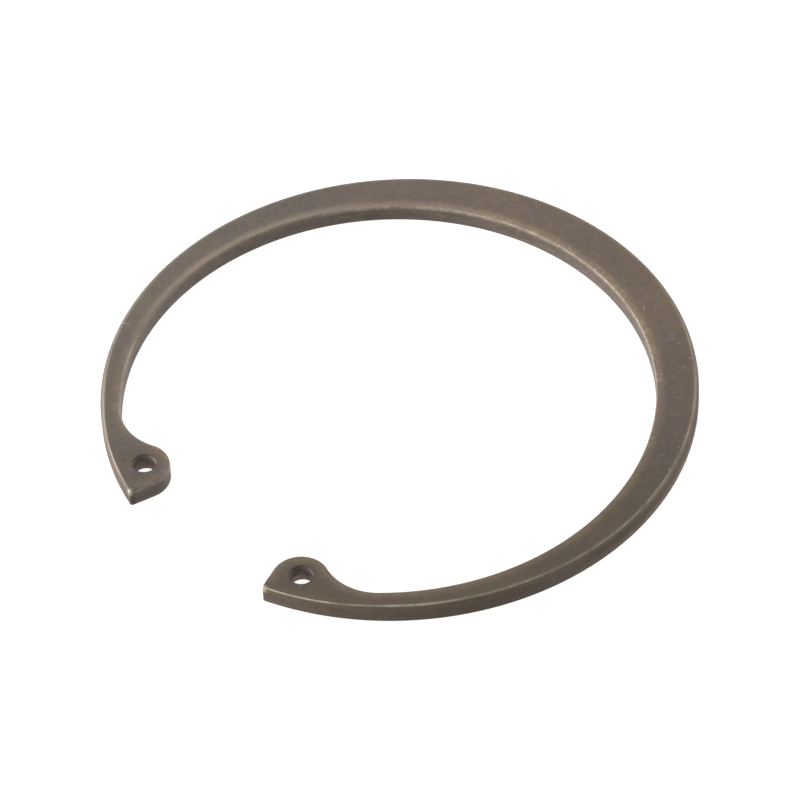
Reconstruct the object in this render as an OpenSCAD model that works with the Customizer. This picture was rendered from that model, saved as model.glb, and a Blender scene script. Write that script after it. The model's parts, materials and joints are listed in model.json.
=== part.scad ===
// Internal retaining ring (snap ring for a bore), one flat piece of spring steel.
// The origin is the centre of the outer rim, on the underside. The gap faces -Y and
// the widest part of the ring is at +Y. The blanked, rounder edges are on top.

/* [Ring] */
// Outside diameter of the free ring, before it is squeezed into its bore
free_d = 90.5; // [88:0.5:96]
// Thickness of the steel
thickness = 3; // [2:0.1:4]
// Radial width at the middle of the ring, opposite the gap
width_middle = 7.2; // [6.4:0.1:8]
// Radial width that the inner circle leaves at the gap, under the lugs
width_gap = 2.45; // [2:0.05:3.2]

/* [Lugs] */
// Angle from the middle of the gap to the centre line of each lug
lug_angle = 23.9; // [20:0.1:30]
// Height of each lug, from the rim to the top of its nose
lug_height = 8.05; // [7.4:0.05:9]
// Radius of the lug's rounded nose
nose_r = 4.35; // [3.6:0.05:4.6]
// Radius of the hollow that leads from the nose into the ring
blend_r = 8.6; // [6:0.1:12]
// Width taken off the upright corner between the end face and the rim
corner_cut = 0.25; // [0.1:0.05:0.6]

/* [Plier holes] */
// Diameter of each plier hole
hole_d = 3.5; // [2.5:0.1:4]
// Distance from the rim to the centre of each plier hole
hole_inset = 4.3; // [4:0.05:4.8]

/* [Edges] */
// Rounding of the rim's upper edge, where the punch drew the steel down most
rim_edge_r = 0.7; // [0.3:0.05:0.8]
// Rounding of the other upper edges
top_edge_r = 0.3; // [0.1:0.05:0.3]
// Rounding of the lower edges, where the burr was tumbled off
bottom_edge_r = 0.15; // [0.05:0.05:0.3]
// Rounding of the mouths of the plier holes
hole_edge_r = 0.1; // [0.05:0.05:0.3]

/* [Hidden] */

rim_facets = 360;
small_facets = 96;
edge_facets = 48;

rim_r = free_d / 2;
// The inner circle is eccentric: its centre lies towards the gap.
inner_r = rim_r - (width_middle + width_gap) / 2;
inner_centre = [0, -(width_middle - width_gap) / 2];
// How far the plates run on past the rim, which then trims them
reach = rim_r;
// How far a cutter runs past the faces
overrun = 1;
// Neighbouring curves run this far into each other, so that they meet in a clean edge.
crossing = 0.01;
// The ring runs on into each blend by this angle.
run_on = 2;
// The corner cut leans this far from the end face, midway between it and the rim.
corner_lean = 45;

// Each lug is drawn with its end face on the -Y axis, and then turned to its place.
nose_orbit = rim_r - lug_height + nose_r;
end_angle = lug_angle - asin((nose_r - crossing) / nose_orbit);
nose_centre = polar([0, 0], nose_orbit, lug_angle - end_angle - 90);
hole_centre = polar([0, 0], rim_r - hole_inset, lug_angle - end_angle - 90);
lug_inner_centre = polar([0, 0], norm(inner_centre), -90 - end_angle);
blend_centre = circles_meet(
    nose_centre, nose_r + blend_r - crossing,
    lug_inner_centre, inner_r - blend_r + crossing
);
blend_start = direction(blend_centre, nose_centre);
blend_end = direction(lug_inner_centre, blend_centre);

function polar(centre, radius, angle) = centre + radius * [cos(angle), sin(angle)];

function direction(from, to) = atan2(to[1] - from[1], to[0] - from[0]);

// Where a circle around a meets one around b, to the right of the line from a to b
function circles_meet(a, radius_a, b, radius_b) =
    let (
        apart = norm(b - a),
        along = (pow(radius_a, 2) - pow(radius_b, 2) + pow(apart, 2)) / (2 * apart),
        aside = sqrt(pow(radius_a, 2) - pow(along, 2)),
        u = (b - a) / apart
    )
    a + along * u + aside * [u[1], -u[0]];

// Quarter disc that rounds the upper right corner of a section
module quarter_disc(radius) {
    intersection() {
        circle(r = radius, $fn = edge_facets);
        square(radius);
    }
}

// Section of the steel, from x = 0 to a rounded edge at x = length
module edge_section(length, upper_r) {
    square([length - upper_r, thickness]);
    square([length - bottom_edge_r, thickness / 2]);
    translate([0, bottom_edge_r])
        square([length, thickness - upper_r - bottom_edge_r]);
    translate([length - upper_r, thickness - upper_r])
        quarter_disc(upper_r);
    translate([length - bottom_edge_r, bottom_edge_r])
        mirror([0, 1])
            quarter_disc(bottom_edge_r);
}

// Section with its rounded edge at x = start, and the steel beyond it
module far_section(start) {
    translate([start + reach, 0])
        mirror([1, 0])
            edge_section(reach, top_edge_r);
}

// Disc with a rounded rim
module disc(centre, radius, upper_r) {
    translate(centre)
        rotate_extrude($fn = rim_facets)
            edge_section(radius, upper_r);
}

// Plate that surrounds part of a circle, with a rounded edge along it
module surround(centre, radius, start, end) {
    translate(centre)
        rotate_extrude(angle = end - start, start = start, $fn = rim_facets)
            far_section(radius);
}

// Plate on the right of the Y axis, with a rounded edge along it
module straight_plate() {
    translate([0, reach, 0])
        rotate([90, 0, 0])
            linear_extrude(2 * reach)
                far_section(0);
}

// The end face and the steel behind it, out to the lug's centre line
module end_block() {
    intersection() {
        straight_plate();
        translate([0, corner_cut - rim_r, 0])
            rotate([0, 0, corner_lean])
                straight_plate();
        linear_extrude(thickness)
            polygon([
                nose_centre,
                [-overrun, nose_centre[1]],
                [-overrun, -rim_r - overrun],
                nose_centre * (1 + reach / nose_orbit)
            ]);
    }
}

// Cutter that rounds the mouth of a plier hole in a face at z = 0
module hole_mouth() {
    mouth_r = hole_d / 2 + hole_edge_r;
    rotate_extrude($fn = small_facets)
        difference() {
            translate([0, -hole_edge_r])
                square([mouth_r, hole_edge_r + overrun]);
            translate([mouth_r, -hole_edge_r])
                circle(r = hole_edge_r, $fn = edge_facets);
        }
}

module plier_hole() {
    translate([0, 0, -overrun])
        cylinder(d = hole_d, h = thickness + 2 * overrun, $fn = small_facets);
    translate([0, 0, thickness])
        hole_mouth();
    mirror([0, 0, 1])
        hole_mouth();
}

// One end of the ring, with its end face on the -Y axis
module lug_plate() {
    disc(nose_centre, nose_r, top_edge_r);
    surround(blend_centre, blend_r, blend_start, blend_end);
    end_block();
}

// Turns a lug, or its hole, to both ends of the ring
module at_both_ends() {
    for (side = [0, 1])
        mirror([side, 0, 0])
            rotate([0, 0, end_angle])
                children();
}

module retaining_ring() {
    ring_start = blend_end + end_angle - run_on;
    color("#75695f")
        difference() {
            intersection() {
                disc([0, 0], rim_r, rim_edge_r);
                union() {
                    surround(inner_centre, inner_r, ring_start, 180 - ring_start);
                    at_both_ends()
                        lug_plate();
                }
            }
            at_both_ends()
                translate(hole_centre)
                    plier_hole();
        }
}

retaining_ring();
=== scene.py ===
"""An internal retaining ring of phosphated spring steel, lying on a pale studio floor."""

import json
import math

import bmesh
import bpy
from mathutils import Matrix, Vector


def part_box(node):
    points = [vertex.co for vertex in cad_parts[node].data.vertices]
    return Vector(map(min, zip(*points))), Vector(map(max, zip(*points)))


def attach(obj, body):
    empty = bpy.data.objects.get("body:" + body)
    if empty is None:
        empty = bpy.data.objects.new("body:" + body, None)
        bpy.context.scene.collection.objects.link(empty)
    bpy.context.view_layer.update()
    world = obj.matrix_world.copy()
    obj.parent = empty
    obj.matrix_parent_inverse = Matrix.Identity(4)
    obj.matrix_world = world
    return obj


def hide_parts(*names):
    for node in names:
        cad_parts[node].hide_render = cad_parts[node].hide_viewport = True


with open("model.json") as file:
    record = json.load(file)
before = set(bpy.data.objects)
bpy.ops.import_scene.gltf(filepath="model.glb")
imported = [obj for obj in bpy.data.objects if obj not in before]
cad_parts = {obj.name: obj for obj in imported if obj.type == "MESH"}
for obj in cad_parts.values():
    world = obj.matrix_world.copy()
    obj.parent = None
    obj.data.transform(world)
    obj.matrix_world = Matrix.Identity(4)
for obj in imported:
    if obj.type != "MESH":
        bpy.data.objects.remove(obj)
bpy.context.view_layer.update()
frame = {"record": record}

MM = 0.001
UP = (0, 0, 1)
ORIGIN = Vector((0, 0))

# ---- Sizes, in metres ------------------------------------------------------------------

low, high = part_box("retaining_ring")
mounts = {mount["name"]: mount for mount in frame["record"]["mounts"]}
hole_mount = mounts["plier_hole_right"]

THICKNESS = high.z - low.z
RIM_RADIUS = mounts["rim"]["dims"]["r_mm"] * MM
HOLE_RADIUS = hole_mount["dims"]["r_mm"] * MM
HOLE_CENTRE = Vector(hole_mount["pos_m"][:2])

# The ring is widest opposite its gap, so the bore's centre lies nearer the gap.
WIDTH_MIDDLE = 7.2 * MM
WIDTH_GAP = 2.45 * MM
BORE_RADIUS = RIM_RADIUS - (WIDTH_MIDDLE + WIDTH_GAP) / 2
BORE_CENTRE = Vector((0, -(WIDTH_MIDDLE - WIDTH_GAP) / 2))

# Each lug has a round nose, which a hollow blend joins to the bore.
LUG_ANGLE = math.radians(23.9)
LUG_HEIGHT = 8.05 * MM
NOSE_RADIUS = 4.35 * MM
BLEND_RADIUS = 8.6 * MM
CORNER_ROUND = 0.42 * MM

# The edges are rounded by the punch and by tumbling, the rim's upper edge most.
# Its rounding narrows towards the ring's ends.
RIM_ROUND = 0.7 * MM
UPPER_ROUND = 0.3 * MM
LOWER_ROUND = 0.15 * MM
HOLE_ROUND = 0.1 * MM
ROUND_STEPS = 6
NARROW_FROM = math.radians(46)
NARROW_TO = math.radians(20)
NARROW_BANDS = 26

# How long one facet of the outline may be, and how its short stretches are cut.
FACET = 0.4 * MM
SMALL_FACET = 0.12 * MM
FOOT_CUTS = 6
LUG_CUTS = 20
CORNER_STEPS = 6

# The narrow border inside each flat face, which keeps its shading flat.
HOLDING_EDGE = 0.02 * MM

# What counts as the same place, as a sharp edge, as a flat face and as a smooth turn.
NEAR = 0.01 * MM
SHARP_ANGLE = math.radians(45)
FLAT_NORMAL = 0.9999
SMOOTH_ANGLE = math.radians(40)


def circles_meet(centre_a, radius_a, centre_b, radius_b):
    """The meeting point of two circles that lies on the left of the way from a to b."""
    way = centre_b - centre_a
    along = (radius_a**2 - radius_b**2 + way.length_squared) / (2 * way.length)
    aside = math.sqrt(radius_a**2 - along**2)
    forward = way.normalized()
    return centre_a + forward * along + Vector((-forward.y, forward.x)) * aside


def bearing(place, centre=ORIGIN):
    """The angle at which a place is seen from a centre, from the +X way round."""
    return math.atan2(place.y - centre.y, place.x - centre.x)


# The right-hand lug, seen from above with the gap at the bottom.
NOSE_REACH = RIM_RADIUS - LUG_HEIGHT + NOSE_RADIUS
NOSE_CENTRE = Vector((math.sin(LUG_ANGLE), -math.cos(LUG_ANGLE))) * NOSE_REACH
BLEND_CENTRE = circles_meet(
    BORE_CENTRE, BORE_RADIUS - BLEND_RADIUS, NOSE_CENTRE, NOSE_RADIUS + BLEND_RADIUS
)
END_ANGLE = LUG_ANGLE - math.asin(NOSE_RADIUS / NOSE_REACH)
END_WAY = Vector((math.sin(END_ANGLE), -math.cos(END_ANGLE)))
END_SIDE = Vector((math.cos(END_ANGLE), math.sin(END_ANGLE)))


# ---- Colours ---------------------------------------------------------------------------

COAT_GREY = (0.118, 0.094, 0.079)
COAT_BROWN = (0.137, 0.102, 0.081)
COAT_DARK = (0.104, 0.079, 0.060)
OLIVE_CAST = (1.05, 1.05, 0.93)
WALL_UPPER = (0.107, 0.081, 0.063)
WALL_LOWER = (0.113, 0.088, 0.074)
# Pale enough to stand as painted light inside the plier holes.
HOLE_WALL_PAINTED_LIGHT = (0.36, 0.29, 0.262)
RIM_CAST = (1.0, 0.96, 0.85)
RUST_CAST = (1.14, 1.0, 0.9)
PURPLE_CAST = (0.99, 0.965, 1.04)
KHAKI_CAST = (1.01, 1.03, 0.96)
SILVER_CAST = (0.95, 1.0, 1.05)
# Paler coat, for rubs, specks and scratches, and for painted sheen.
RUBBED_COAT_AND_SHEEN = (0.36, 0.30, 0.23)
# Bare steel, which also stands as painted highlights along the edges.
BARE_STEEL = (0.43, 0.38, 0.31)

# ---- Sides of the ring -----------------------------------------------------------------
# In degrees: a bearing, then how far off it an effect begins and how near it is full.

BROWN_SIDE = (85, 75, 20)
DARK_SIDE = (-33, 78, 30)
SILVER_SIDE = (165, 85, 45)
RUSTY_LUG = (238, 30, 15)
DARK_LUG = (245, 35, 15)
LESS_LIGHTENED_SIDE = (230, 50, 20)
DULL_SHADED_RIM = (230, 60, 20)
DARK_RIM = (17, 34, 14)
BRIGHT_CREST = (-20, 95, 65)
CREST_BY_LUG = (242, 28, 12)
FAINT_CREST = (15, 60, 40)
OUTER_CREST = (-57, 30, 12)
BLUNT_SIDE = (200, 60, 35)
SOFT_SHEEN_SIDE = (178, 38, 12)
SCUFFED_SIDE = (70, 55, 30)
SPECKLED_SIDE = (28, 40, 18)

# ---- Bands beside the edges ------------------------------------------------------------
# In millimetres from an edge: where a band begins, where it is full, and where it ends.

ON_RIM = (1.0, 0.5)
IN_HOLE = (0.5, 0.1)
BLUNT_LIP = (-0.1, 0.08, 0.25, 0.4)
SHARP_LIP = (0.23, 0.06)
SOFT_SHEEN_BAND = (-0.1, 0.3, 0.6, 1.4)
SCUFFED_BAND = (0.1, 0.35, 0.6, 1.5)
SPECKLED_BAND = (0.4, 0.9, 2.4, 4.0)
WALL_BEGINS = (0.03, 0.3)
# The crest is a band of the rim's own rounding, so it is a share of that.
CREST = (0.38, 0.72, 0.93, 1.1)

# In millimetres from the underside.
UPPER_HALF = (1.8, 2.3)
UPPER_FACE = (2.55, 2.8)
LIP_HEIGHT = (2.25, 2.55)
TOP_FACE = (2.9, 2.98)

# ---- Patterns, in turns per millimetre -------------------------------------------------

CLOUDS = 0.09
BLOTCHES = 0.8
COAT_GRAIN = 3.5
COAT_CASTS = 0.33
RUST_PATCHES = 0.3
WALL_STREAKS = 2.0
WALL_PATCHES = 0.4
WALL_LAYERS = 1.6
WALL_GRAIN = 2.4
WALL_CASTS = 0.9
WEAR_PATCHES = 0.25
WEAR_BREAKS = 1.6
SPECKS = 1.5
SPECK_GROUPS = 0.15

# ---- Marks, in millimetres: start, end and width ---------------------------------------

LONG_SCRATCH = ((-40.6, -19.4), (-39.2, -18.5), 0.12)
SHORT_SCRATCH = ((16.0, 37.2), (17.1, 36.2), 0.12)

# ---- Gloss and strengths, as shares ----------------------------------------------------

COAT_SPECULAR = 0.25
FACE_ROUGHNESS = 0.7
WALL_ROUGHNESS = 0.45
FACE_POLISH = 0.42
WALL_POLISH = 0.12
BARE_METAL = 0.7
RUBBED_AND_SHEEN_STRENGTH = 0.55
SPECK_STRENGTH = 0.5
SCRATCH_STRENGTH = 0.6
SCRATCH_DEPTH = 0.5
BUMP_STRENGTH = 0.5
BUMP_DEPTH = 0.03 * MM


# ---- Modelling -------------------------------------------------------------------------


def select(piece, kind, test):
    """Selects the vertices, edges or faces of a piece in edit mode that pass a test."""
    bpy.ops.mesh.select_mode(type=kind)
    bpy.ops.mesh.select_all(action="DESELECT")
    mesh = bmesh.from_edit_mesh(piece.data)
    items = {"VERT": mesh.verts, "EDGE": mesh.edges, "FACE": mesh.faces}[kind]
    for item in items:
        item.select = test(item)
    mesh.select_flush_mode()
    bmesh.update_edit_mesh(piece.data)


def middle(edge):
    """The middle of an edge."""
    return (edge.verts[0].co + edge.verts[1].co) / 2


def start_point(place):
    """Adds one selected point to the piece in edit mode."""
    bpy.ops.mesh.select_all(action="DESELECT")
    bpy.ops.mesh.primitive_plane_add(size=MM)
    bpy.ops.mesh.merge(type="CENTER")
    bpy.ops.transform.translate(value=place.to_3d())


def draw_arc(centre, angle, steps):
    """Carries the outline on from its selected end point, round a centre."""
    bpy.ops.mesh.spin(steps=steps, angle=-angle, center=centre.to_3d(), axis=UP)


def draw_line(step):
    """Carries the outline on in a straight line."""
    bpy.ops.mesh.extrude_vertices_move(TRANSFORM_OT_translate={"value": step.to_3d()})


def facets(radius, angle, length):
    """How many facets of about a given length make an arc."""
    return math.ceil(abs(angle) * radius / length)


def draw_half_strip(blend_end):
    """The band of the ring's right half, from its crown to the foot of the lug."""
    at_crown = math.pi / 2
    at_blend = bearing(BLEND_CENTRE, BORE_CENTRE)
    blend_turn = bearing(NOSE_CENTRE, BLEND_CENTRE) - at_blend
    blend_start = BORE_CENTRE + (BLEND_CENTRE - BORE_CENTRE).normalized() * BORE_RADIUS
    at_start = bearing(blend_start)
    bore_steps = facets(RIM_RADIUS, at_start - at_crown, FACET)
    blend_steps = facets(BLEND_RADIUS, blend_turn, SMALL_FACET)

    start_point(BORE_CENTRE + Vector((0, BORE_RADIUS)))
    draw_arc(BORE_CENTRE, at_blend - at_crown, bore_steps)
    draw_arc(BLEND_CENTRE, blend_turn, blend_steps)
    start_point(Vector((0, RIM_RADIUS)))
    draw_arc(ORIGIN, at_start - at_crown, bore_steps)
    draw_arc(ORIGIN, bearing(blend_end) - at_start, blend_steps)
    bpy.ops.mesh.select_all(action="SELECT")
    bpy.ops.mesh.bridge_edge_loops()


def draw_half_lug(piece, blend_end):
    """The right-hand lug, a patch of spokes between its outline and its plier hole."""
    foot = blend_end.normalized()
    at_end = bearing(END_WAY)
    nose_turn = at_end + math.pi / 2 - bearing(NOSE_CENTRE, BLEND_CENTRE)
    nose_end = NOSE_CENTRE - END_SIDE * NOSE_RADIUS
    line_end = END_WAY * math.sqrt(RIM_RADIUS * (RIM_RADIUS - 2 * CORNER_ROUND))
    corner = line_end + END_SIDE * CORNER_ROUND
    at_corner = bearing(corner)
    corner_turn = at_corner - at_end + math.pi / 2
    rim_turn = bearing(blend_end) - at_corner

    def is_at_foot(place):
        return abs(foot.cross(place.xy)) < NEAR

    select(piece, "EDGE", lambda edge: all(is_at_foot(end.co) for end in edge.verts))
    bpy.ops.mesh.subdivide(number_cuts=FOOT_CUTS)
    select(piece, "VERT", lambda point: (point.co.xy - blend_end).length < NEAR)
    draw_arc(NOSE_CENTRE, nose_turn, facets(NOSE_RADIUS, nose_turn, SMALL_FACET))
    for _ in range(LUG_CUTS):
        draw_line((line_end - nose_end) / LUG_CUTS)
    draw_arc(corner, corner_turn, CORNER_STEPS)
    draw_arc(ORIGIN, rim_turn, 2 * LUG_CUTS)
    bpy.ops.mesh.select_all(action="SELECT")
    bpy.ops.mesh.remove_doubles(threshold=NEAR)

    def is_outline(edge):
        closes_strip = all(is_at_foot(end.co) for end in edge.verts)
        return closes_strip or not edge.link_faces

    # The hole's circle stays raised until the spokes are laid, so that they do not cross.
    select(piece, "EDGE", is_outline)
    steps = sum(edge.select for edge in bmesh.from_edit_mesh(piece.data).edges)
    bpy.ops.mesh.primitive_circle_add(
        vertices=steps, radius=HOLE_RADIUS, location=(*HOLE_CENTRE, MM)
    )
    select(piece, "EDGE", is_outline)
    bpy.ops.mesh.bridge_edge_loops()
    select(piece, "VERT", lambda point: point.co.z > MM / 2)
    bpy.ops.transform.translate(value=(0, 0, -MM))


def apply_modifier(piece, kind, **settings):
    """Finishes a piece with one modifier, which becomes part of its mesh."""
    bpy.ops.object.mode_set(mode="OBJECT")
    modifier = piece.modifiers.new(kind.title(), kind)
    for name, value in settings.items():
        setattr(modifier, name, value)
    bpy.ops.object.modifier_apply(modifier=modifier.name)


def is_on_circle(place, centre, radius):
    """Whether a place lies on a circle's outline."""
    return abs((place.xy - centre).length - radius) < NEAR


def new_piece(name):
    """An empty mesh in edit mode, made from a primitive whose mesh is then deleted."""
    bpy.ops.object.select_all(action="DESELECT")
    bpy.ops.mesh.primitive_plane_add(size=MM)
    piece = bpy.context.object
    piece.name = name
    piece.data.name = name
    bpy.ops.object.mode_set(mode="EDIT")
    bpy.ops.mesh.delete(type="VERT")
    return piece


def make_blank(name):
    """The ring as it leaves the punch: a flat plate with sharp edges."""
    piece = new_piece(name)
    blend_end = BLEND_CENTRE + (NOSE_CENTRE - BLEND_CENTRE).normalized() * BLEND_RADIUS
    draw_half_strip(blend_end)
    draw_half_lug(piece, blend_end)
    apply_modifier(piece, "MIRROR", merge_threshold=NEAR)
    bpy.ops.object.mode_set(mode="EDIT")
    bpy.ops.mesh.select_all(action="SELECT")
    bpy.ops.mesh.extrude_region_move(TRANSFORM_OT_translate={"value": (0, 0, THICKNESS)})
    bpy.ops.mesh.select_all(action="SELECT")
    bpy.ops.mesh.normals_make_consistent(inside=False)
    return piece


def weigh_bevel(piece, width, test):
    """Marks edges to be rounded by a width, as a share of the widest rounding."""
    select(piece, "EDGE", test)
    bpy.ops.transform.edge_bevelweight(value=width / RIM_ROUND)


def from_gap(place):
    """The angle between a place and the middle of the gap, the same on either side."""
    return math.atan2(abs(place.x), -place.y)


def round_edges(piece):
    """Rounds every edge of the plate, the rim's upper edge in bands of their own width."""
    bpy.ops.object.mode_set(mode="EDIT")

    def is_hole(edge):
        place = middle(edge)
        place.x = abs(place.x)
        return is_on_circle(place, HOLE_CENTRE, HOLE_RADIUS)

    def is_sharp(edge):
        return edge.calc_face_angle() > SHARP_ANGLE

    def is_upper(edge):
        return is_sharp(edge) and middle(edge).z > THICKNESS / 2

    def is_lower(edge):
        return is_sharp(edge) and middle(edge).z < THICKNESS / 2

    def is_rim(edge):
        return is_upper(edge) and is_on_circle(middle(edge), ORIGIN, RIM_RADIUS)

    def is_upper_inner(edge):
        return is_upper(edge) and not is_rim(edge) and not is_hole(edge)

    weigh_bevel(piece, HOLE_ROUND, lambda edge: is_sharp(edge) and is_hole(edge))
    weigh_bevel(piece, LOWER_ROUND, lambda edge: is_lower(edge) and not is_hole(edge))
    weigh_bevel(piece, UPPER_ROUND, is_upper_inner)
    span = (NARROW_FROM - NARROW_TO) / NARROW_BANDS
    for step in range(NARROW_BANDS + 1):
        start = NARROW_TO + span * (step - 1) if step > 0 else 0
        end = NARROW_TO + span * step if step < NARROW_BANDS else math.pi
        width = UPPER_ROUND + (RIM_ROUND - UPPER_ROUND) * (step / NARROW_BANDS)
        weigh_bevel(
            piece, width, lambda edge: is_rim(edge) and start < from_gap(middle(edge)) <= end
        )
    apply_modifier(
        piece,
        "BEVEL",
        limit_method="WEIGHT",
        width=RIM_ROUND,
        segments=ROUND_STEPS,
        use_clamp_overlap=False,
    )


def smooth(piece):
    """Shades the roundings smooth while the flat faces stay flat."""
    bpy.ops.object.mode_set(mode="EDIT")
    select(piece, "FACE", lambda face: abs(face.normal.z) > FLAT_NORMAL)
    bpy.ops.mesh.inset(thickness=HOLDING_EDGE)
    bpy.ops.object.mode_set(mode="OBJECT")
    bpy.ops.object.shade_smooth_by_angle(angle=SMOOTH_ANGLE)


def make_ring():
    """The finished ring."""
    ring = make_blank("phosphated_ring")
    round_edges(ring)
    smooth(ring)
    return ring


# ---- Nodes -----------------------------------------------------------------------------


def feed(tree, socket, value):
    """Joins another socket to this one, or sets it to a plain value."""
    if isinstance(value, bpy.types.NodeSocket):
        tree.links.new(value, socket)
    else:
        socket.default_value = value


def calc(tree, operation, *values):
    """A Math node."""
    node = tree.nodes.new("ShaderNodeMath")
    node.operation = operation
    for socket, value in zip(node.inputs, values):
        feed(tree, socket, value)
    return node.outputs[0]


def product(tree, *values):
    """Several values multiplied together."""
    result = values[0]
    for value in values[1:]:
        result = calc(tree, "MULTIPLY", result, value)
    return result


def vector_calc(tree, operation, first, second, output="Vector"):
    """A Vector Math node on two vectors."""
    node = tree.nodes.new("ShaderNodeVectorMath")
    node.operation = operation
    feed(tree, node.inputs[0], first)
    feed(tree, node.inputs[1], second)
    return node.outputs[output]


def fade(tree, value, start, end, low=0.0, high=1.0):
    """Goes smoothly from low to high as a value goes from start to end."""
    node = tree.nodes.new("ShaderNodeMapRange")
    node.interpolation_type = "SMOOTHSTEP"
    settings = {
        "Value": value,
        "From Min": start,
        "From Max": end,
        "To Min": low,
        "To Max": high,
    }
    for name, setting in settings.items():
        feed(tree, node.inputs[name], setting)
    return node.outputs["Result"]


def band(tree, value, start, full_from, full_to, end):
    """One between two values, fading out on both sides of them."""
    return product(tree, fade(tree, value, start, full_from), fade(tree, value, end, full_to))


def noise(tree, vector, scale, detail=2.0, roughness=0.5):
    """Soft random values, with a scale in turns per millimetre."""
    node = tree.nodes.new("ShaderNodeTexNoise")
    feed(tree, node.inputs["Vector"], vector)
    node.inputs["Scale"].default_value = scale
    node.inputs["Detail"].default_value = detail
    node.inputs["Roughness"].default_value = roughness
    return node.outputs["Fac"]


def stretch(tree, vector, scale):
    """Stretches a pattern along its axes; below one makes it longer."""
    node = tree.nodes.new("ShaderNodeMapping")
    feed(tree, node.inputs["Vector"], vector)
    node.inputs["Scale"].default_value = scale
    return node.outputs[0]


def mix(tree, factor, first, second):
    """Mixes two colours."""
    node = tree.nodes.new("ShaderNodeMix")
    node.data_type = "RGBA"
    feed(tree, node.inputs["Factor"], factor)
    feed(tree, node.inputs[6], first)
    feed(tree, node.inputs[7], second)
    return node.outputs[2]


def spread(tree, value):
    """The same value on all three axes."""
    node = tree.nodes.new("ShaderNodeCombineXYZ")
    for socket in node.inputs:
        feed(tree, socket, value)
    return node.outputs[0]


def tint(tree, colour, factor):
    """Makes a colour lighter or darker."""
    return vector_calc(tree, "MULTIPLY", colour, spread(tree, factor))


def masked(tree, mask, off, on):
    """A value that goes from one to another as a mask comes on."""
    return fade(tree, mask, 0.0, 1.0, off, on)


def uneven(tree, pattern, low, high):
    """A value that wanders between two others with a noise pattern."""
    return fade(tree, pattern, 0.3, 0.7, low, high)


def cast(tree, colour, mask, factors):
    """Shifts a colour's hue where a mask is on."""
    return vector_calc(tree, "MULTIPLY", colour, mix(tree, mask, (1, 1, 1, 1), (*factors, 1)))


def wandering_cast(tree, colour, pattern):
    """Lets a colour wander between a purple and a khaki cast."""
    factors = mix(tree, fade(tree, pattern, 0.36, 0.64), (*PURPLE_CAST, 1), (*KHAKI_CAST, 1))
    return vector_calc(tree, "MULTIPLY", colour, factors)


def new_group(name, inputs, outputs):
    """An empty shader node group with named sockets."""
    tree = bpy.data.node_groups.new(name, "ShaderNodeTree")
    for socket, kind in inputs.items():
        tree.interface.new_socket(name=socket, in_out="INPUT", socket_type="NodeSocket" + kind)
    for socket, kind in outputs.items():
        tree.interface.new_socket(name=socket, in_out="OUTPUT", socket_type="NodeSocket" + kind)
    given = tree.nodes.new("NodeGroupInput").outputs
    result = tree.nodes.new("NodeGroupOutput").inputs
    return tree, given, result


def place_group(tree, group, **values):
    """Puts a node group into a material and sets its inputs."""
    node = tree.nodes.new("ShaderNodeGroup")
    node.node_tree = group
    for name, value in values.items():
        feed(tree, node.inputs[name], value)
    return node.outputs


def towards(tree, way, side):
    """A mask for one side of the ring, which fades in with the bearing."""
    middle_way, start, full = side
    angle = math.radians(middle_way)
    near = vector_calc(tree, "DOT_PRODUCT", way, (math.cos(angle), math.sin(angle), 0), "Value")
    return fade(tree, near, math.cos(math.radians(start)), math.cos(math.radians(full)))


def in_mm(place):
    """A place on the plan as a vector in millimetres."""
    return (place.x / MM, place.y / MM, 0)


# ---- Materials -------------------------------------------------------------------------


def outside(tree, flat, centre, radius):
    """How far a point on the plan lies outside a circle."""
    gap = vector_calc(tree, "DISTANCE", flat, in_mm(centre), "Value")
    return calc(tree, "SUBTRACT", gap, radius / MM)


def ahead(tree, flat, start, way):
    """How far a point on the plan lies ahead of a line that crosses a way at its start."""
    step = vector_calc(tree, "SUBTRACT", flat, in_mm(start))
    return vector_calc(tree, "DOT_PRODUCT", step, (way.x, way.y, 0), "Value")


def half_plan(tree, across, along):
    """The ring seen flat from above, with its left half folded over its right half."""
    flat = tree.nodes.new("ShaderNodeCombineXYZ")
    feed(tree, flat.inputs[0], calc(tree, "ABSOLUTE", across))
    feed(tree, flat.inputs[1], along)
    return flat.outputs[0]


def inside_nose(tree, flat):
    """How far a point lies inside the lug's round nose, and inside its sides further out."""
    nose_way = NOSE_CENTRE.normalized()
    nose_side = Vector((-nose_way.y, nose_way.x))
    past_nose = calc(tree, "MINIMUM", ahead(tree, flat, NOSE_CENTRE, nose_way), 0.0)
    aside = ahead(tree, flat, NOSE_CENTRE, nose_side)
    squares = calc(tree, "ADD", product(tree, past_nose, past_nose), product(tree, aside, aside))
    apart = calc(tree, "SQRT", squares)
    return calc(tree, "SUBTRACT", NOSE_RADIUS / MM, apart)


def in_blend(tree, flat):
    """One between the lines that join the hollow blend's centre to the bore's and the nose's."""
    bore_way = (BLEND_CENTRE - BORE_CENTRE).normalized()
    lug_way = (NOSE_CENTRE - BLEND_CENTRE).normalized()
    past_bore = ahead(tree, flat, BLEND_CENTRE, Vector((bore_way.y, -bore_way.x)))
    before_nose = ahead(tree, flat, BLEND_CENTRE, Vector((-lug_way.y, lug_way.x)))
    return product(
        tree,
        calc(tree, "GREATER_THAN", past_bore, 0.0),
        calc(tree, "GREATER_THAN", before_nose, 0.0),
    )


def from_inner_edge(tree, flat):
    """How far a point lies from the inner edge: the bore, the hollow blend and the nose."""
    bore = outside(tree, flat, BORE_CENTRE, BORE_RADIUS)
    plain = calc(tree, "MAXIMUM", bore, inside_nose(tree, flat))
    blend = outside(tree, flat, BLEND_CENTRE, BLEND_RADIUS)
    more = product(tree, in_blend(tree, flat), calc(tree, "SUBTRACT", blend, plain))
    return calc(tree, "ADD", plain, more)


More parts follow.
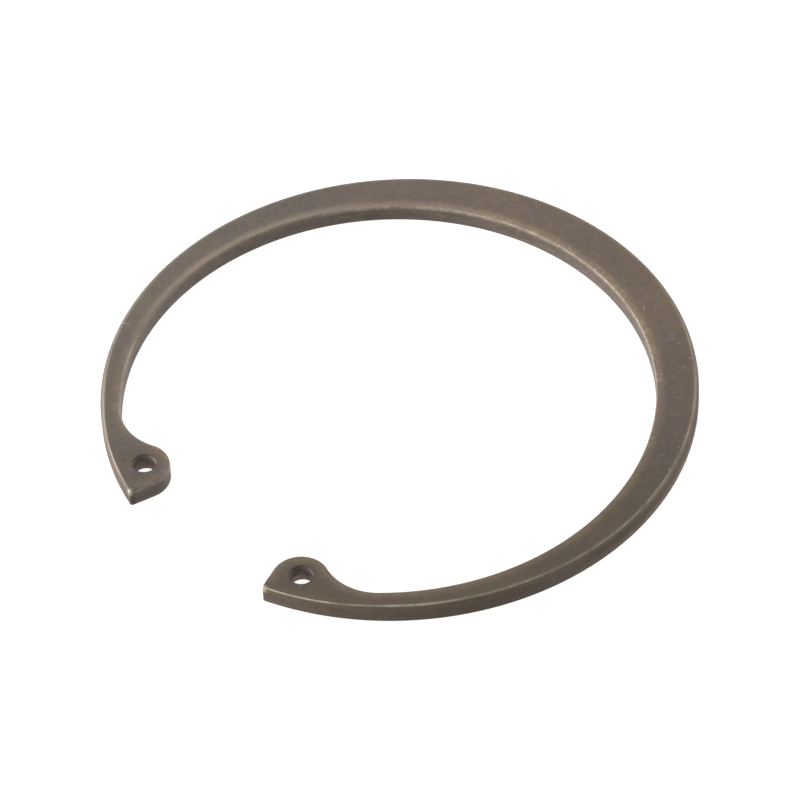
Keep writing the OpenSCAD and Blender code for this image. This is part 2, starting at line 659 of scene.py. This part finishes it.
def rim_rounding(tree, flat):
    """How wide the rim's upper rounding is, which narrows towards the gap."""
    way = vector_calc(tree, "NORMALIZE", flat, (0, 0, 0))
    from_crown = vector_calc(tree, "DOT_PRODUCT", way, (0, 1, 0), "Value")
    towards_gap = calc(tree, "MULTIPLY", from_crown, -1.0)
    return fade(
        tree,
        towards_gap,
        math.cos(NARROW_FROM),
        math.cos(NARROW_TO),
        RIM_ROUND / MM,
        UPPER_ROUND / MM,
    )


def round_the_rim(tree, way, rim):
    """A place on the rim's circle, with the distance in from the rim as its third axis."""
    around = vector_calc(tree, "MULTIPLY", way, (RIM_RADIUS / MM,) * 3)
    depth = vector_calc(tree, "MULTIPLY", spread(tree, rim), (0, 0, 1))
    return vector_calc(tree, "ADD", around, depth)


def ring_layout():
    """Where a point lies on the ring, in millimetres from each edge and from below."""
    tree, given, result = new_group(
        "ring_layout",
        {"Position": "Vector"},
        {
            "Place": "Vector",
            "Way": "Vector",
            "Around": "Vector",
            "Rim": "Float",
            "Rim Rounding": "Float",
            "Inner": "Float",
            "End": "Float",
            "Hole": "Float",
            "Height": "Float",
        },
    )
    place = vector_calc(tree, "DIVIDE", given["Position"], (MM, MM, MM))
    level = vector_calc(tree, "MULTIPLY", place, (1, 1, 0))
    way = vector_calc(tree, "NORMALIZE", level, (0, 0, 0))
    split = tree.nodes.new("ShaderNodeSeparateXYZ")
    feed(tree, split.inputs[0], place)
    across, along, height = split.outputs
    flat = half_plan(tree, across, along)
    rim = calc(tree, "MULTIPLY", outside(tree, flat, ORIGIN, RIM_RADIUS), -1.0)

    feed(tree, result["Place"], place)
    feed(tree, result["Way"], way)
    feed(tree, result["Around"], round_the_rim(tree, way, rim))
    feed(tree, result["Rim"], rim)
    feed(tree, result["Rim Rounding"], rim_rounding(tree, flat))
    feed(tree, result["Inner"], from_inner_edge(tree, flat))
    feed(tree, result["End"], ahead(tree, flat, ORIGIN, END_SIDE))
    feed(tree, result["Hole"], outside(tree, flat, HOLE_CENTRE, HOLE_RADIUS))
    feed(tree, result["Height"], height)
    return tree


def mottled_coat():
    """The phosphate coat on the flat faces: broad tones, soft clouds, blotches and a grain, with
    painted sheen by the inner edge and painted shade at the holes.
    """
    tree, given, result = new_group(
        "mottled_coat",
        {"Place": "Vector", "Way": "Vector", "Rim": "Float", "Inner": "Float", "Hole": "Float"},
        {"Colour": "Color", "Roughness": "Float", "Height": "Float"},
    )
    place = given["Place"]
    way = given["Way"]
    clouds = noise(tree, place, CLOUDS, 3.0)
    blotches = noise(tree, place, BLOTCHES, 4.0, 0.65)
    grain = noise(tree, place, COAT_GRAIN, 2.0, 0.6)
    ragged = uneven(tree, blotches, -0.45, 0.45)
    inner = calc(tree, "ADD", given["Inner"], ragged)
    rim = calc(tree, "ADD", given["Rim"], ragged)

    # The coat is greyer on one side of the ring, browner on another and darker on a third.
    colour = mix(tree, towards(tree, way, BROWN_SIDE), (*COAT_GREY, 1), (*COAT_BROWN, 1))
    colour = mix(tree, towards(tree, way, DARK_SIDE), colour, (*COAT_DARK, 1))

    by_edge = fade(tree, calc(tree, "MINIMUM", rim, inner), 2.4, 0.7, 0.0, 0.6)
    olive = calc(tree, "ADD", by_edge, fade(tree, clouds, 0.35, 0.7, -0.2, 0.6))
    olive = calc(tree, "MINIMUM", calc(tree, "MAXIMUM", olive, 0.0), 1.0)
    colour = cast(tree, colour, olive, OLIVE_CAST)
    rusty = fade(tree, noise(tree, place, RUST_PATCHES, 3.0, 0.6), 0.5, 0.68)
    rusty = product(tree, rusty, towards(tree, way, RUSTY_LUG))
    colour = cast(tree, colour, rusty, RUST_CAST)
    colour = wandering_cast(tree, colour, noise(tree, place, COAT_CASTS, 3.0, 0.6))
    colour = tint(tree, colour, uneven(tree, clouds, 0.94, 1.06))
    colour = tint(tree, colour, uneven(tree, blotches, 0.88, 1.12))
    colour = tint(tree, colour, uneven(tree, grain, 0.9, 1.1))

    # The coat is lighter beside both edges, the inner one more; beside the inner edge this is
    # partly wear and partly painted sheen.
    colour = tint(tree, colour, masked(tree, towards(tree, way, DARK_LUG), 1.0, 0.86))
    lightest = masked(tree, towards(tree, way, LESS_LIGHTENED_SIDE), 1.65, 1.3)
    colour = tint(tree, colour, fade(tree, inner, 1.9, 0.0, 1.0, lightest))
    colour = tint(tree, colour, fade(tree, rim, 1.4, 0.4, 1.0, 1.12))
    silver = product(tree, fade(tree, rim, 1.5, 0.5), towards(tree, way, SILVER_SIDE))
    colour = cast(tree, colour, silver, SILVER_CAST)
    # Painted shade: the coat is darker at the holes' mouths, which dims the glint on their
    # rounded edges.
    colour = tint(tree, colour, fade(tree, given["Hole"], 0.3, 0.05, 1.0, 0.7))
    feed(tree, result["Colour"], colour)

    rough = uneven(tree, blotches, -0.04, 0.05)
    mouth = fade(tree, given["Hole"], 0.25, 0.05, 0.0, 0.35)
    feed(tree, result["Roughness"], calc(tree, "ADD", rough, mouth))
    height = calc(tree, "ADD", product(tree, grain, 0.5), product(tree, blotches, 0.5))
    feed(tree, result["Height"], height)
    return tree


def sheared_wall():
    """The punched wall: a smooth sheared band above, a rougher torn band below, with painted
    light in the holes and painted shade on the rim's wall.
    """
    tree, given, result = new_group(
        "sheared_wall",
        {
            "Way": "Vector",
            "Around": "Vector",
            "Rim": "Float",
            "End": "Float",
            "Hole": "Float",
            "Height": "Float",
            "Upper": "Color",
            "Lower": "Color",
        },
        {"Colour": "Color", "Metal": "Float", "Roughness": "Float", "Bump": "Float"},
    )
    height = given["Height"]
    raised = vector_calc(tree, "MULTIPLY", spread(tree, height), (0, 0, 1))
    level = vector_calc(tree, "MULTIPLY", given["Around"], (1, 1, 0))
    place = vector_calc(tree, "ADD", level, raised)
    streaks = noise(tree, stretch(tree, place, (1, 1, 0.4)), WALL_STREAKS, 3.0, 0.6)
    patches = noise(tree, stretch(tree, place, (1, 1, 1.4)), WALL_PATCHES, 3.0)
    layers = noise(tree, stretch(tree, place, (0.12, 0.12, 1)), WALL_LAYERS, 3.0, 0.6)
    grain = noise(tree, place, WALL_GRAIN, 3.0, 0.7)
    casts = noise(tree, stretch(tree, place, (0.5, 0.5, 1)), WALL_CASTS, 3.0, 0.6)

    # The sheared band ends at an uneven height.
    line = calc(tree, "ADD", uneven(tree, patches, 1.3, 2.0), uneven(tree, streaks, -0.15, 0.15))
    torn = fade(tree, calc(tree, "SUBTRACT", height, line), 0.3, -0.3)

    # The holes' walls are painted pale as painted light, palest low down, and are a little
    # metallic there.
    in_hole = fade(tree, given["Hole"], *IN_HOLE)
    painted_hole_light = tint(tree, HOLE_WALL_PAINTED_LIGHT, fade(tree, height, 0.6, 2.6, 1.35, 0.42))
    colour = mix(tree, torn, given["Upper"], given["Lower"])
    colour = mix(tree, in_hole, colour, painted_hole_light)
    colour = tint(tree, colour, fade(tree, streaks, 0.25, 0.75, 0.96, 1.04))
    colour = tint(tree, colour, uneven(tree, patches, 0.93, 1.07))
    colour = tint(tree, colour, uneven(tree, layers, 0.88, 1.12))
    colour = tint(tree, colour, uneven(tree, grain, 0.84, 1.16))
    colour = wandering_cast(tree, colour, casts)
    colour = tint(tree, colour, fade(tree, given["Rim"], 0.5, 1.5, 0.95, 1.05))
    colour = tint(tree, colour, fade(tree, height, 1.8, 2.6, 1.0, 1.2))
    colour = tint(tree, colour, fade(tree, height, 1.1, 0.4, 1.0, 1.12))
    colour = tint(tree, colour, fade(tree, given["End"], 0.6, 0.1, 1.0, 0.9))

    # The rim's wall is rougher and painted darker beside one lug, and painted darker on the
    # right, most of all high up: both are painted shade.
    on_rim = fade(tree, given["Rim"], *ON_RIM)
    dull_shaded = product(tree, towards(tree, given["Way"], DULL_SHADED_RIM), on_rim)
    colour = tint(tree, colour, masked(tree, dull_shaded, 1.0, 0.76))
    darker = product(tree, towards(tree, given["Way"], DARK_RIM), on_rim)
    darker = product(tree, darker, fade(tree, height, 0.6, 2.2, 0.3, 1.0))
    colour = tint(tree, colour, masked(tree, darker, 1.0, 0.66))
    feed(tree, result["Colour"], cast(tree, colour, on_rim, RIM_CAST))

    metal = product(tree, in_hole, fade(tree, height, 0.6, 2.6, 0.55, 0.1))
    feed(tree, result["Metal"], metal)
    duller = product(tree, calc(tree, "MAXIMUM", dull_shaded, darker), 0.3)
    feed(tree, result["Roughness"], calc(tree, "ADD", masked(tree, torn, 0.0, 0.1), duller))
    feed(tree, result["Bump"], product(tree, grain, masked(tree, torn, 0.6, 1.4)))
    return tree


def edge_wear_and_highlights():
    """Bare and rubbed bands along the rounded edges: polish from handling and tumbling, also
    placed as painted highlights and sheen.
    """
    tree, given, result = new_group(
        "edge_wear_and_highlights",
        {
            "Place": "Vector",
            "Way": "Vector",
            "Rim": "Float",
            "Rim Rounding": "Float",
            "Inner": "Float",
            "End": "Float",
            "Height": "Float",
        },
        {"Bare And Highlight": "Float", "Rubbed And Sheen": "Float"},
    )
    way = given["Way"]
    height = given["Height"]
    rounding = given["Rim Rounding"]
    patchy = noise(tree, given["Place"], WEAR_PATCHES, 3.0, 0.6)
    fine = noise(tree, given["Place"], WEAR_BREAKS, 3.0, 0.6)
    broken = fade(tree, patchy, 0.3, 0.6, 0.45, 1.1)
    broken = product(tree, broken, fade(tree, fine, 0.25, 0.6, 0.75, 1.0))
    top = fade(tree, height, *UPPER_FACE)

    # A bright line of bare steel runs where the face meets the rim's rounding, wear that also
    # stands as a painted highlight; it is brightest at the ends.
    above = fade(tree, height, *UPPER_HALF)
    outward = product(tree, towards(tree, way, OUTER_CREST), 0.1)
    crest = calc(tree, "DIVIDE", calc(tree, "ADD", given["Rim"], outward), rounding)
    line = product(tree, band(tree, crest, *CREST), above)
    line = product(tree, line, fade(tree, rounding, 0.65, 0.35, 0.7, 1.0))
    by_lug = product(tree, towards(tree, way, CREST_BY_LUG), 0.53)
    bright = calc(tree, "MAXIMUM", towards(tree, way, BRIGHT_CREST), by_lug)
    line = product(tree, line, masked(tree, bright, 0.22, 1.0))
    line = product(tree, line, masked(tree, towards(tree, way, FAINT_CREST), 1.0, 0.55))
    # A bright bare patch at the rim's corners: wear that also stands as a painted glint.
    corner = product(tree, fade(tree, given["End"], 1.2, 0.3), fade(tree, given["Rim"], 0.7, 0.3))
    corner = product(tree, corner, above)

    # The inner edge has a sharp bare line, wear that also stands as a painted highlight; on one
    # side it is a blunt bare band instead, with a soft pale band of painted sheen beside it.
    blunt_side = towards(tree, way, BLUNT_SIDE)
    sheen_side = towards(tree, way, SOFT_SHEEN_SIDE)
    inward = calc(tree, "MINIMUM", given["Inner"], given["End"])
    sharp = product(tree, fade(tree, inward, *SHARP_LIP), fade(tree, height, *LIP_HEIGHT))
    sharp = product(tree, sharp, masked(tree, blunt_side, 0.35, 0.0))
    sharp = product(tree, sharp, fade(tree, fine, 0.35, 0.62, 0.5, 1.25))
    blunt = product(tree, band(tree, inward, *BLUNT_LIP), top, blunt_side)
    blunt = product(tree, blunt, masked(tree, sheen_side, 0.42, 0.1))
    lip = calc(tree, "MAXIMUM", sharp, blunt)

    # Bare steel where the edges are worn, which also stands as painted highlights.
    bare_and_highlight = calc(tree, "MAXIMUM", calc(tree, "MAXIMUM", line, lip), corner)
    feed(tree, result["Bare And Highlight"], product(tree, bare_and_highlight, broken))

    # A soft pale band of painted sheen beside the inner edge on one side, and patchy scuffs near
    # it.
    soft = product(tree, band(tree, given["Inner"], *SOFT_SHEEN_BAND), sheen_side, 0.28, top)
    scuffed = product(tree, band(tree, given["Inner"], *SCUFFED_BAND), top)
    scuffed = product(tree, scuffed, fade(tree, patchy, 0.42, 0.56), fade(tree, fine, 0.46, 0.6))
    scuffed = product(tree, scuffed, masked(tree, towards(tree, way, SCUFFED_SIDE), 0.25, 1.0))
    feed(tree, result["Rubbed And Sheen"], calc(tree, "MAXIMUM", soft, scuffed))
    return tree


def line_mark(tree, place, start, end, width):
    """A thin straight mark between two places on the face."""
    start = Vector(start)
    end = Vector(end)
    way = (end - start).normalized()
    step = vector_calc(tree, "SUBTRACT", place, (start.x, start.y, 0))
    along = vector_calc(tree, "DOT_PRODUCT", step, (way.x, way.y, 0), "Value")
    aside = vector_calc(tree, "DOT_PRODUCT", step, (-way.y, way.x, 0), "Value")
    aside = calc(tree, "ABSOLUTE", aside)
    length = (end - start).length
    long_way = band(tree, along, 0.0, length * 0.2, length * 0.7, length)
    return product(tree, long_way, fade(tree, aside, width, width * 0.3))


def small_marks():
    """Pale specks near the rim and two short scratches."""
    tree, given, result = new_group(
        "small_marks",
        {"Place": "Vector", "Way": "Vector", "Rim": "Float", "Height": "Float"},
        {"Specks": "Float", "Scratches": "Float"},
    )
    place = given["Place"]
    groups = fade(tree, noise(tree, place, SPECK_GROUPS, 1.0), 0.4, 0.6)
    specks = product(
        tree,
        fade(tree, noise(tree, place, SPECKS, 1.0), 0.67, 0.74),
        band(tree, given["Rim"], *SPECKLED_BAND),
        masked(tree, towards(tree, given["Way"], SPECKLED_SIDE), 0.15, 1.0),
        masked(tree, groups, 0.3, 1.0),
    )
    first = line_mark(tree, place, *LONG_SCRATCH)
    second = line_mark(tree, place, *SHORT_SCRATCH)
    top = fade(tree, given["Height"], *TOP_FACE)
    feed(tree, result["Specks"], product(tree, specks, top))
    feed(tree, result["Scratches"], product(tree, calc(tree, "MAXIMUM", first, second), top))
    return tree


def phosphated_steel():
    """Spring steel with a thin brown-grey phosphate coat, worn along its edges, with painted
    highlights, sheen, light and shade.
    """
    material = bpy.data.materials.new("phosphated_steel")
    material.use_nodes = True
    tree = material.node_tree
    shader = tree.nodes["Principled BSDF"]
    shader.inputs["Specular IOR Level"].default_value = COAT_SPECULAR

    position = tree.nodes.new("ShaderNodeTexCoord").outputs["Object"]
    layout = place_group(tree, ring_layout(), Position=position)

    def place_on_ring(group, **values):
        """Puts a node group into the material and feeds it the layout that it reads."""
        for item in group.interface.items_tree:
            if item.in_out == "INPUT" and item.name not in values:
                values[item.name] = layout[item.name]
        return place_group(tree, group, **values)

    coat = place_on_ring(mottled_coat())
    wall = place_on_ring(sheared_wall(), Upper=(*WALL_UPPER, 1), Lower=(*WALL_LOWER, 1))
    wear_and_highlights = place_on_ring(edge_wear_and_highlights())
    marks = place_on_ring(small_marks())

    from_above = calc(tree, "SUBTRACT", THICKNESS / MM, layout["Height"])
    depth = calc(tree, "MINIMUM", layout["Height"], from_above)
    on_wall = fade(tree, depth, *WALL_BEGINS)
    colour = mix(tree, on_wall, coat["Colour"], wall["Colour"])
    # Paler coat where rubbed and where sheen is painted, and at specks and scratches.
    for mask, strength in (
        (wear_and_highlights["Rubbed And Sheen"], RUBBED_AND_SHEEN_STRENGTH),
        (marks["Specks"], SPECK_STRENGTH),
        (marks["Scratches"], SCRATCH_STRENGTH),
    ):
        colour = mix(tree, product(tree, mask, strength), colour, (*RUBBED_COAT_AND_SHEEN, 1))
    # Bare steel along the worn edges, which also gives the painted highlights.
    colour = mix(tree, wear_and_highlights["Bare And Highlight"], colour, (*BARE_STEEL, 1))
    feed(tree, shader.inputs["Base Color"], colour)

    bare_metal = product(tree, wear_and_highlights["Bare And Highlight"], BARE_METAL)
    wall_metal = product(tree, wall["Metal"], on_wall)
    feed(tree, shader.inputs["Metallic"], calc(tree, "MAXIMUM", bare_metal, wall_metal))

    rough = calc(tree, "ADD", coat["Roughness"], product(tree, on_wall, wall["Roughness"]))
    plain = fade(tree, on_wall, 0.0, 0.6, FACE_ROUGHNESS, WALL_ROUGHNESS)
    rough = calc(tree, "ADD", rough, plain)
    polish = fade(tree, on_wall, 0.0, 0.6, FACE_POLISH, WALL_POLISH)
    rough = calc(tree, "SUBTRACT", rough, product(tree, wear_and_highlights["Bare And Highlight"], polish))
    feed(tree, shader.inputs["Roughness"], rough)

    height = product(tree, coat["Height"], masked(tree, on_wall, 1.0, 0.4))
    height = calc(tree, "ADD", height, product(tree, wall["Bump"], on_wall))
    height = calc(tree, "SUBTRACT", height, product(tree, marks["Scratches"], SCRATCH_DEPTH))
    bump = tree.nodes.new("ShaderNodeBump")
    bump.inputs["Strength"].default_value = BUMP_STRENGTH
    bump.inputs["Distance"].default_value = BUMP_DEPTH
    feed(tree, bump.inputs["Height"], height)
    feed(tree, shader.inputs["Normal"], bump.outputs[0])
    return material


# ---- Studio ----------------------------------------------------------------------------

WHITE = (1, 1, 1, 1)
AMBIENT = 0.3
FLOOR_SIZE = 3
FLOOR_GREY = (0.35, 0.35, 0.35, 1)
FLOOR_GLOW = 0.9
FLOOR_GAP = 0.02 * MM

# Distance in metres, elevation and azimuth in degrees, size in metres and power in watts.
LAMPS = {
    "left_lamp": (0.2, 12, 215, 0.08, 0.59),
    "near_lamp": (0.3, 12, 260, 0.12, 0.56),
    "right_lamp": (0.3, 12, 50, 0.12, 0.73),
    "far_lamp": (0.2, 20, 150, 0.1, 0.074),
    "far_high_lamp": (0.16, 35, 110, 0.08, 0.043),
}

CAMERA_AZIMUTH = -43.58
CAMERA_ELEVATION = 46.0
CAMERA_ROLL = math.radians(3.01)
CAMERA_DISTANCE = 755.2 * MM
CAMERA_TARGET = Vector((1.48 * MM, -1.4 * MM, THICKNESS / 2))
LENS = 225
SENSOR = 36


def background_rays(nodes, links):
    """One for a ray that shows the background: straight, mirrored or passed through."""
    path = nodes.new("ShaderNodeLightPath")
    either = nodes.new("ShaderNodeMath")
    either.operation = "MAXIMUM"
    links.new(path.outputs["Is Camera Ray"], either.inputs[0])
    links.new(path.outputs["Is Glossy Ray"], either.inputs[1])
    every = nodes.new("ShaderNodeMath")
    every.operation = "MAXIMUM"
    links.new(either.outputs[0], every.inputs[0])
    links.new(path.outputs["Is Transmission Ray"], every.inputs[1])
    return every.outputs[0]


def make_world():
    """A white surround that lights the ring softly."""
    world = bpy.data.worlds.new("white_surround")
    bpy.context.scene.world = world
    world.use_nodes = True
    nodes = world.node_tree.nodes
    links = world.node_tree.links
    seen = nodes["Background"]
    seen.inputs["Color"].default_value = WHITE
    lit = nodes.new("ShaderNodeBackground")
    lit.inputs["Color"].default_value = WHITE
    lit.inputs["Strength"].default_value = AMBIENT
    both = nodes.new("ShaderNodeMixShader")
    links.new(background_rays(nodes, links), both.inputs["Fac"])
    links.new(lit.outputs[0], both.inputs[1])
    links.new(seen.outputs[0], both.inputs[2])
    links.new(both.outputs[0], nodes["World Output"].inputs["Surface"])


def make_floor():
    """A pale floor that shows white and keeps a faint shadow."""
    bpy.ops.object.select_all(action="DESELECT")
    bpy.ops.mesh.primitive_plane_add(size=FLOOR_SIZE)
    floor = bpy.context.object
    floor.name = "studio_floor"
    floor.location.z = -FLOOR_GAP
    material = bpy.data.materials.new("pale_floor")
    material.use_nodes = True
    nodes = material.node_tree.nodes
    links = material.node_tree.links
    nodes.remove(nodes["Principled BSDF"])
    matte = nodes.new("ShaderNodeBsdfDiffuse")
    matte.inputs["Color"].default_value = FLOOR_GREY
    light = nodes.new("ShaderNodeEmission")
    light.inputs["Color"].default_value = WHITE
    strength = nodes.new("ShaderNodeMath")
    strength.operation = "MULTIPLY"
    strength.inputs[1].default_value = FLOOR_GLOW
    links.new(background_rays(nodes, links), strength.inputs[0])
    links.new(strength.outputs[0], light.inputs["Strength"])
    both = nodes.new("ShaderNodeAddShader")
    links.new(matte.outputs[0], both.inputs[0])
    links.new(light.outputs[0], both.inputs[1])
    links.new(both.outputs[0], nodes["Material Output"].inputs["Surface"])
    floor.data.materials.append(material)


def place_round(distance, elevation, azimuth):
    """A place round the ring, from a distance and two angles in degrees."""
    up = math.radians(elevation)
    side = math.radians(azimuth)
    flat = distance * math.cos(up)
    return Vector((flat * math.cos(side), flat * math.sin(side), distance * math.sin(up)))


def make_lamp(name, distance, elevation, azimuth, size, power):
    """A square soft lamp that faces the ring's centre."""
    data = bpy.data.lights.new(name, "AREA")
    data.shape = "SQUARE"
    data.size = size
    data.energy = power
    lamp = bpy.data.objects.new(name, data)
    lamp.visible_camera = False
    bpy.context.scene.collection.objects.link(lamp)
    lamp.location = place_round(distance, elevation, azimuth)
    lamp.rotation_euler = (-lamp.location).to_track_quat("-Z", "Y").to_euler()


def make_camera():
    """A camera with a long lens, at the side of the gap and well above the ring."""
    away = place_round(1.0, CAMERA_ELEVATION, CAMERA_AZIMUTH)
    data = bpy.data.cameras.new("camera")
    data.sensor_width = SENSOR
    data.lens = LENS
    data.clip_start = 0.01
    camera = bpy.data.objects.new("camera", data)
    bpy.context.scene.collection.objects.link(camera)
    aim = (-away).to_track_quat("-Z", "Y").to_matrix().to_4x4()
    turn = Matrix.Rotation(-CAMERA_ROLL, 4, "Z")
    place = Matrix.Translation(CAMERA_TARGET + away * CAMERA_DISTANCE)
    camera.matrix_world = place @ aim @ turn
    bpy.context.scene.camera = camera


# ---- Scene -----------------------------------------------------------------------------

bpy.context.scene.view_settings.view_transform = "Standard"

make_camera()
make_world()
make_floor()
for name, settings in LAMPS.items():
    make_lamp(name, *settings)

ring = make_ring()
ring.data.materials.append(phosphated_steel())
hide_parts("retaining_ring")
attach(ring, "root")
